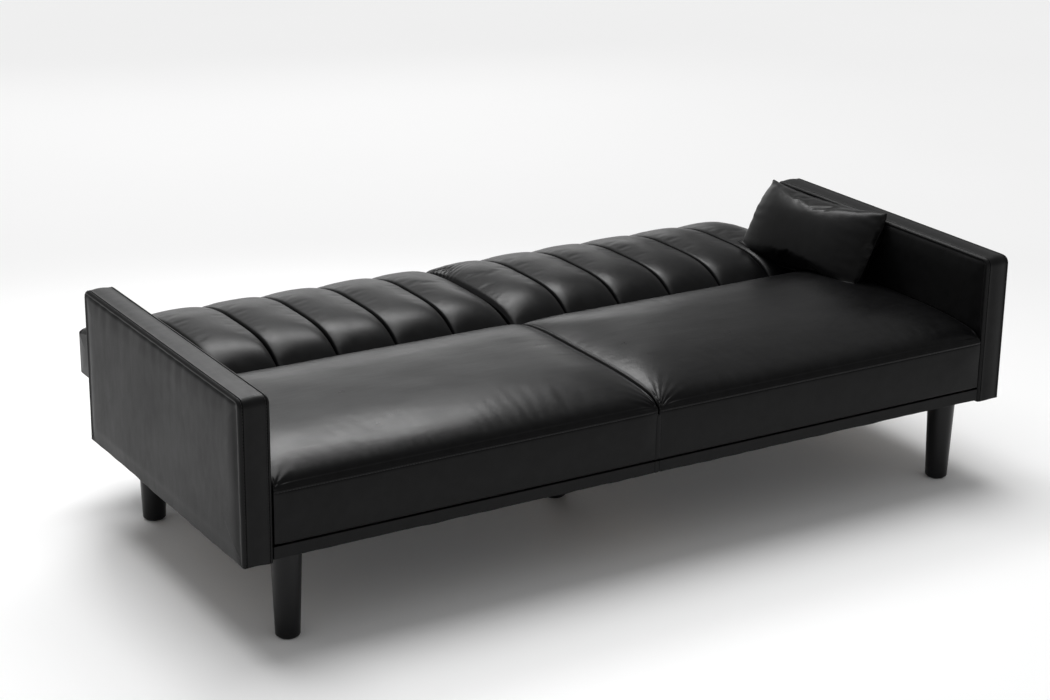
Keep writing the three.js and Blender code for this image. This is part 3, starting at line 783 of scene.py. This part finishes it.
# ---- arms: a leather sleeve over the panel, with a boxing strip stitched along both of its edges ----
def arm_sleeve(hand, side):
    low, high = node_span(f"{hand}_arm_cover", f"{hand}_arm_panel")
    x0, x1 = low.x, high.x
    y0, y1, z0, z1 = low.y, high.y, low.z - ARM_HEM_DROP, high.z
    deep, tall, c = y1 - y0, z1 - z0, ARM_CORNER
    quarter = [math.pi * k / 12 for k in range(7)]
    front = [(y0, z) for z in spaced(z0, z1 - c, ARM_GRID, ARM_HEM_FINE)]
    bend = [(y0 + c - c * math.cos(a), z1 - c + c * math.sin(a)) for a in quarter[1:-1]]
    top = [(y, z1) for y in steps(y0 + c, y1 - c, ARM_GRID)]
    rear_bend = [(y1 - c + c * math.sin(a), z1 - c + c * math.cos(a)) for a in quarter[1:-1]]
    rear = [(y1, z) for z in spaced(z0, z1 - c, ARM_GRID, ARM_HEM_FINE)[::-1]]
    under = [(y, z0) for y in steps(y0, y1, ARM_GRID)[::-1][1:-1]]
    loop = np.array(front + bend + top + rear_bend + rear + under)
    n = len(loop)
    width = x1 - x0
    xs = x0 + spaced(0, width, 0.009, ARM_STRIP_FINE, ARM_STRIP_FINE)

    def place(x, y, z):
        d = np.minimum(x - x0, x1 - x)
        edge = ARM_EDGE * (1 - np.sqrt(np.clip(1 - (1 - np.clip(d / ARM_EDGE, 0, 1)) ** 2, 0, 1)))
        dent = 0.0024 * hump(d, ARM_STITCH, 0.0009) - 0.0011 * hump(np.abs(d - ARM_STITCH), 0.0018, 0.0008)
        crown = 0.0022 * smooth((d - 0.009) / 0.02)
        hem = z < z0 + 0.0005
        inset = np.where(hem, 0.4 * edge, edge + dent - crown)
        ny = np.clip((y0 + c - y) / c, 0, 1) - np.clip((y - (y1 - c)) / c, 0, 1)
        nz = np.where(hem, 0, -np.clip((z - (z1 - c)) / c, 0, 1))
        size = np.maximum(np.hypot(ny, nz), 1e-6)
        straight = size < 1e-5
        y = y + np.where(straight, 0, inset * ny / size)
        z = z + np.where(straight, 0, inset * nz / size) + np.where(hem, inset, 0)
        return np.stack([x, y, z], 1)

    def dome(inset, y, z, sign):
        """How the side panel stands out: drawn in at the strip's seam, then puckered and full."""
        from_top, from_front, from_rear = z1 - z, y - y0, y1 - y
        d = np.minimum(np.minimum(from_top, from_front), from_rear)
        d = np.where(z < z0 + 0.03, inset, d)
        seam = -0.0032 * hump(from_top, 0.0075, 0.0045) + 0.0008 * hump(from_top, 0.0025, 0.0015)
        rounded = -0.0040 * (1 - smooth(np.minimum(from_front, from_rear) / 0.035))
        drawn = seam + rounded * smooth(inset / 0.01) + 0.0026 * smooth(d / 0.05)
        at = np.stack([np.zeros_like(y), y, z], 1)
        pucker = field(at, (0, 34, 5), 40 + sign + side) * np.exp(-from_top / 0.05) * smooth(from_top / 0.008)
        tugs = field(at, (0, 70, 12), 45 + sign + side) * np.exp(-from_top / 0.02) * smooth(from_top / 0.006)
        side_tug = field(at, (0, 6, 30), 50 + sign) * np.exp(-np.minimum(from_front, from_rear) / 0.03)
        broad = field(at, (0, 6, 7), 55 + sign + side) * smooth(d / 0.03)
        pulled = ARM_PUCKERS * pucker + ARM_TUGS * tugs + ARM_SIDE_TUGS * side_tug
        return drawn + pulled + ARM_WAVES * broad

    insets = [0.0012, 0.003, 0.0055, 0.0085, 0.0125, 0.018]
    insets += list(np.arange(0.0255, tall / 2 - 0.004, 0.0085))
    obj = carried(f"{hand}_arm_sleeve", xs, loop, place, insets, arm_leather, dome)
    subdivide(obj)
    at = points_of(obj)
    low_edge = np.exp(-np.clip(at[:, 2] - z0, 0, None) / 0.012)
    ripple = field(at, (30, 22, 0), 60 + side)
    at[:, 2] -= (0.0012 + ARM_HEM_RIPPLE * ripple) * low_edge
    at[:, 0] += 0.0012 * field(at, (0, 26, 0), 63 + side) * low_edge
    set_points(obj, at)
    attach(obj, "base")
    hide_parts(f"{hand}_arm_cover", f"{hand}_arm_panel")
    last = len(front) + len(bend) + len(top) + len(rear_bend) + len(rear)
    for end, place_x in (("low", ARM_STITCH), ("high", width - ARM_STITCH)):
        column = int(np.argmin(np.abs(xs - x0 - place_x)))
        row = [(column, k) for k in range(2, last - 2)]
        stitches(f"{hand}_arm_stitches_{end}", *grid_path(obj, n, row), "base")


# ---- rails wrapped in leather ----
def rail_wrap(name, node, seed):
    low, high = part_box(node)
    x0, x1, y0, y1, z0, z1 = low.x, high.x, low.y - 0.0005, high.y, low.z, high.z - RAIL_GAP
    fine = (0, 0.0012, 0.003, 0.006)
    loop, sides = loop_of(
        [
            ((y0, z0), (y0, z1), spaced(0, z1 - z0, 0.006, fine, fine)),
            ((y0, z1), (y1, z1), spaced(0, y1 - y0, 0.01, fine, fine)),
            ((y1, z1), (y1, z0), spaced(0, z1 - z0, 0.01, fine, fine)),
            ((y1, z0), (y0, z0), spaced(0, y1 - y0, 0.01, fine, fine)),
        ]
    )

    def place(x, y, z):
        wave = 0.0011 * np.sin(x * 23 + seed) * np.sin(x * 9.1) + 0.0006 * np.sin(x * 71 + 2 * seed)
        lowest = np.clip(1 - (z - z0) / 0.012, 0, 1)
        return np.stack([x, y, z - np.abs(wave) * lowest], 1)

    left = spaced(x0, 0, 0.011, (0, 0.002), RAIL_JOINT_FINE)
    right = spaced(0, x1, 0.011, RAIL_JOINT_FINE, (0, 0.002))
    xs = np.concatenate([left[:-1], right])
    obj = carried(name, xs, loop, place, (0.001, 0.004), seat_leather)
    subdivide(obj)
    at = points_of(obj)
    joint = hump(np.abs(at[:, 0]), RAIL_SEAM_AT, RAIL_SEAM_WIDE)
    push_out(obj, -RAIL_SEAM_DEEP * joint + 0.0004 * field(at, (24, 0, 40), seed))
    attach(obj, "base")
    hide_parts(node)


def centre_welt():
    """The narrow leather strip that closes the front of the gap between the seat halves."""
    low, high = node_span("seat_cover_left", "seat_cover_right")
    front, z0, z1 = low.y - WELT_STANDS, low.z + 0.0005, BAND_TOP - 0.012
    rings = []
    for z in steps(z0, z1, 0.006):
        at = (z - z0) / (z1 - z0)
        out = WELT_BELLY * math.sin(math.pi * at)
        thin = WELT_HALF * (1 - 0.5 * float(smooth((at - 0.9) / 0.1)))
        rings.append([(across * thin, front + behind - out, z) for across, behind in WELT_OUTLINE])
    points, faces = tube_between(rings)
    obj = mesh_object("seat_centre_welt", points, faces, seat_leather)
    weld(obj)
    subdivide(obj, 2)
    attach(obj, "base")


# ---- legs: turned and tapered, with a rounded foot and a glide ----
def turned(name, profile, centre, material, around=56):
    rings = [[(centre[0] + a, centre[1] + b, z) for a, b in circle(r, around)] for r, z in profile]
    points, faces = tube_between(rings)
    obj = mesh_object(name, points, faces, material)
    weld(obj)
    return shade_smooth(obj)


def leg(node):
    low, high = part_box(node)
    centre = ((low.x + high.x) / 2, (low.y + high.y) / 2)
    top_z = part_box(node + "_plate")[0].z
    radius = (high.x - low.x) / 2

    def taper(z):
        return LEG_FOOT + (radius - LEG_FOOT) * z / top_z

    glide, foot = GLIDE_RADIUS, LEG_FOOT
    profile = [(0.006, 0), (glide - 0.002, 0), (glide - 0.0005, 0.0005), (glide, 0.0016)]
    profile += [(glide, GLIDE_HEIGHT), (glide + 0.0005, GLIDE_HEIGHT + 0.0004)]
    profile += [(foot - 0.0012, 0.0036), (foot - 0.0003, 0.0044), (taper(0.006), 0.006)]
    profile += [(taper(z), z) for z in steps(0.012, top_z - 0.004, 0.02)]
    profile += [(radius - 0.0001, top_z - 0.002), (radius - 0.0008, top_z - 0.0006)]
    profile += [(radius - 0.003, top_z - 0.0001), (LEG_BOLT + 0.0005, top_z - 0.0001)]
    profile += [(LEG_BOLT, top_z), (LEG_BOLT, high.z), (LEG_BOLT - 0.001, high.z)]
    obj = turned(f"{node}_turned", profile, centre, leg_lacquer)
    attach(obj, "base")
    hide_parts(node)


# ---- lumbar pillow ----
def pillow_panels(length, tall):
    """Two puffed panels that share one rim; gives the mesh and the rim's points in order."""
    us, ws = steps(-0.5, 0.5, PILLOW_GRID / length), steps(-0.5, 0.5, PILLOW_GRID / tall)
    last_u, last_w = len(us) - 1, len(ws) - 1
    points, index, faces = [], {}, []
    for panel in (-1, 1):
        for j, w in enumerate(ws):
            for i, u in enumerate(us):
                if panel == 1 and (i in (0, last_u) or j in (0, last_w)):
                    index[panel, i, j] = index[-1, i, j]
                    continue
                full = max(0.0, (1 - abs(2 * u) ** 3.2) * (1 - abs(2 * w) ** 2.6))
                index[panel, i, j] = len(points)
                points.append((u * length, panel * PILLOW_START / 2 * math.sqrt(full), w * tall))
    for panel in (-1, 1):
        for j in range(last_w):
            for i in range(last_u):
                quad = [index[panel, a, b] for a, b in ((i, j), (i + 1, j), (i + 1, j + 1), (i, j + 1))]
                faces.append(quad if panel < 0 else quad[::-1])
    rim = [index[-1, i, 0] for i in range(last_u)]
    rim += [index[-1, last_u, j] for j in range(last_w)]
    rim += [index[-1, i, last_w] for i in range(last_u, 0, -1)]
    rim += [index[-1, 0, j] for j in range(last_w, 0, -1)]
    return mesh_object("lumbar_pillow_cover", points, faces, pillow_leather), rim


def blow_up(obj):
    """Lets cloth fill the pillow, no point moving further than PILLOW_CAP."""
    at = points_of(obj)
    travel = cloth_travel(obj, slack=0.02)
    size = np.linalg.norm(travel, axis=1)[:, None] + 1e-9
    at = at + travel * PILLOW_CAP * np.tanh(size / PILLOW_CAP) / size
    set_points(obj, at)


def pillow_welt(rim_points):
    """A thin welt round the pillow's rim."""
    corners = circle(PILLOW_WELT, 8)

    def sections(total):
        return ((s, corners) for s in steps(0, total, 0.004))

    rings = along_path(rim_points, rim_points - rim_points.mean(0), sections)[:-1]
    n = len(corners)
    tube, sides = tube_between(rings, closed_ends=False)
    last = (len(rings) - 1) * n
    sides += [(last + k, last + (k + 1) % n, (k + 1) % n, k) for k in range(n)]
    welt = shade_smooth(mesh_object("lumbar_pillow_welt", tube, sides, pillow_leather))
    weld(welt)
    return welt


def pillow():
    low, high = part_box("lumbar_pillow")
    length, tall = high.y - low.y + PILLOW_SPARE, PILLOW_HEIGHT + PILLOW_SPARE
    obj, rim = pillow_panels(length, tall)
    blow_up(obj)
    crumple(obj, length, tall)
    settle_pillow(obj, low, high)
    crease = obj.data.attributes.new("crease_edge", "FLOAT", "EDGE")
    on_rim = set(rim)
    for edge in obj.data.edges:
        if edge.vertices[0] in on_rim and edge.vertices[1] in on_rim:
            crease.data[edge.index].value = 0.7
    subdivide(obj, 2)
    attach(obj, "pillow")
    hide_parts("lumbar_pillow")
    welt = pillow_welt(points_of(obj)[rim + [rim[0]]])
    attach(welt, "pillow")
    for piece in (obj, welt):
        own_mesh(piece)


def crumple(obj, length, tall):
    """Folds that run in from the pillow's ends and corners, where its panels are gathered by the seam."""
    at = points_of(obj)
    to_end = length / 2 - np.abs(at[:, 0])
    to_side = tall / 2 - np.abs(at[:, 2])
    ends = field(at, (14, 6, 62), 71) * np.exp(-to_end / 0.035) * smooth(to_end / 0.006)
    sides = field(at, (48, 6, 10), 73) * np.exp(-to_side / 0.026) * smooth(to_side / 0.006)
    folds = PILLOW_END_FOLDS * ends + PILLOW_SIDE_FOLDS * sides
    push_out(obj, folds + PILLOW_WAVES * field(at, (9, 6, 14), 75))


def settle_pillow(obj, low, high):
    """Leans the pillow on the arm, its rear end swung a little away, pressed flat where it touches."""
    arm_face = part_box("right_arm_cover")[0].x
    at = points_of(obj)
    size = at.max(0) - at.min(0)
    long = high.y - low.y
    wanted = np.array([long + 0.01, PILLOW_THICK, PILLOW_HEIGHT])
    at = (at - (at.max(0) + at.min(0)) / 2) * wanted / size
    along, out, up = at[:, 0], at[:, 1], at[:, 2]
    lean = math.asin((PILLOW_FOOT - PILLOW_HEAD) / PILLOW_HEIGHT)
    y = along + (low.y + high.y) / 2 - PILLOW_FORWARD
    up = up - math.tan(PILLOW_TIP) * along
    turned_in = math.tan(PILLOW_TURN) * (y - (high.y - 0.75 * long))
    x = arm_face - (PILLOW_FOOT + PILLOW_HEAD) / 2 + up * math.sin(lean) + out * math.cos(lean) - turned_in
    z = PILLOW_MIDDLE + up * math.cos(lean) - out * math.sin(lean)
    room = arm_face - PILLOW_CLEAR - x
    pressed = PILLOW_SOFT * np.exp(np.clip(room - PILLOW_SOFT, -1, 0) / PILLOW_SOFT)
    x = arm_face - PILLOW_CLEAR - np.where(room > PILLOW_SOFT, room, pressed)
    seat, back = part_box("seat_cover_right"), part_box("back_cover_right")
    seat_deep = seat[1].y - seat[0].y
    seat_top = seat_height(np.clip(seat[1].x - x, 0, 1), np.clip(y - seat[0].y, 0, 1), seat_deep)
    back_top = back_height(np.clip(back[1].x - x, 0, 1), np.clip(y - back[0].y, 0, 1)) + 0.006
    rest = np.where(y < seat[1].y, seat_top, np.where(y > back[0].y, back_top, 0)) + 0.002
    set_points(obj, np.stack([x, y, np.maximum(z, rest)], 1))


for hand, side in (("left", -1), ("right", 1)):
    seat_half(hand, side)
    back_half(hand, side)
    arm_sleeve(hand, side)
rail_wrap("front_rail_wrap", "front_rail", 1)
rail_wrap("rear_rail_wrap", "rear_rail", 2)
centre_welt()
for corner in ("front_left", "front_right", "rear_left", "rear_right", "centre"):
    leg(f"{corner}_leg")
pillow()


# ---- carried-over CAD nodes ----
def finish_node(name, material):
    node = frame["nodes"][name]
    node.data.materials.clear()
    node.data.materials.append(material)


slot_materials = {
    "leather": arm_leather,
    "leg": leg_lacquer,
    "timber": timber,
    "plywood": plywood,
    "foam": non_woven,
    "non_woven": non_woven,
    "black_steel": black_steel,
    "zinc_steel": zinc_steel,
    "rubber": rubber,
}
for entry in frame["record"]["subparts"]:
    finish_node(entry["node"], slot_materials[entry["material_slot"]])


# ---- floor, light and camera ----
def studio():
    material, tree, shader = new_material("floor_paper")
    place = tree.nodes.new("ShaderNodeTexCoord").outputs["Object"]
    cloud = add_node(tree, "ShaderNodeTexNoise", Scale=0.9, Detail=3.0)
    tree.links.new(place, cloud.inputs["Vector"])
    tint = add_node(tree, "ShaderNodeMix", data_type="RGBA")
    tint.inputs["A"].default_value = (FLOOR_TONE - 0.012,) * 3 + (1,)
    tint.inputs["B"].default_value = (FLOOR_TONE + 0.012,) * 3 + (1,)
    tree.links.new(cloud.outputs["Fac"], tint.inputs["Factor"])
    tree.links.new(tint.outputs["Result"], shader.inputs["Base Color"])
    shader.inputs["Roughness"].default_value = 0.9
    shader.inputs["Specular IOR Level"].default_value = 0.1
    corners = [(a * FLOOR_HALF, b * FLOOR_HALF, 0) for a, b in ((-1, -1), (1, -1), (1, 1), (-1, 1))]
    mesh_object("floor", corners, [(0, 1, 2, 3)], material)
    world = bpy.data.worlds.new("studio")
    world.use_nodes = True
    world.node_tree.nodes["Background"].inputs["Color"].default_value = (1, 1, 1, 1)
    world.node_tree.nodes["Background"].inputs["Strength"].default_value = SKY
    bpy.context.scene.world = world
    sun = bpy.data.lights.new("overhead", "SUN")
    sun.energy = SUN["power"]
    sun.angle = math.radians(SUN["angle"])
    overhead = bpy.data.objects.new("overhead", sun)
    overhead.rotation_euler = Vector(SUN["from"]).to_track_quat("Z", "Y").to_euler()
    bpy.context.scene.collection.objects.link(overhead)
    for name, (at, aim, (width, height), power, spread) in SOFTBOXES.items():
        lamp = bpy.data.lights.new(name, "AREA")
        lamp.shape = "RECTANGLE"
        lamp.size, lamp.size_y = width, height
        lamp.energy = power
        lamp.spread = math.radians(spread)
        box = bpy.data.objects.new(name, lamp)
        box.location = at
        box.rotation_euler = (Vector(at) - Vector(aim)).to_track_quat("Z", "Y").to_euler()
        box.visible_camera = False
        bpy.context.scene.collection.objects.link(box)


def camera():
    yaw, down, tip = (math.radians(a) for a in (CAMERA_YAW, CAMERA_DOWN, CAMERA_ROLL))
    ahead = Vector((math.sin(yaw) * math.cos(down), math.cos(yaw) * math.cos(down), -math.sin(down)))
    right = Vector((math.cos(yaw), -math.sin(yaw), 0))
    up = right.cross(ahead)
    across = math.cos(tip) * right + math.sin(tip) * up
    upwards = -math.sin(tip) * right + math.cos(tip) * up
    view = bpy.data.cameras.new("camera")
    view.lens, view.sensor_width, view.sensor_fit = LENS_MM, SENSOR_MM, "HORIZONTAL"
    obj = bpy.data.objects.new("camera", view)
    turn = Matrix((across, upwards, -ahead)).transposed().to_4x4()
    obj.matrix_world = Matrix.Translation(CAMERA_AT) @ turn
    bpy.context.scene.collection.objects.link(obj)
    bpy.context.scene.camera = obj


studio()
camera()
bpy.context.scene.view_settings.view_transform = "Standard"
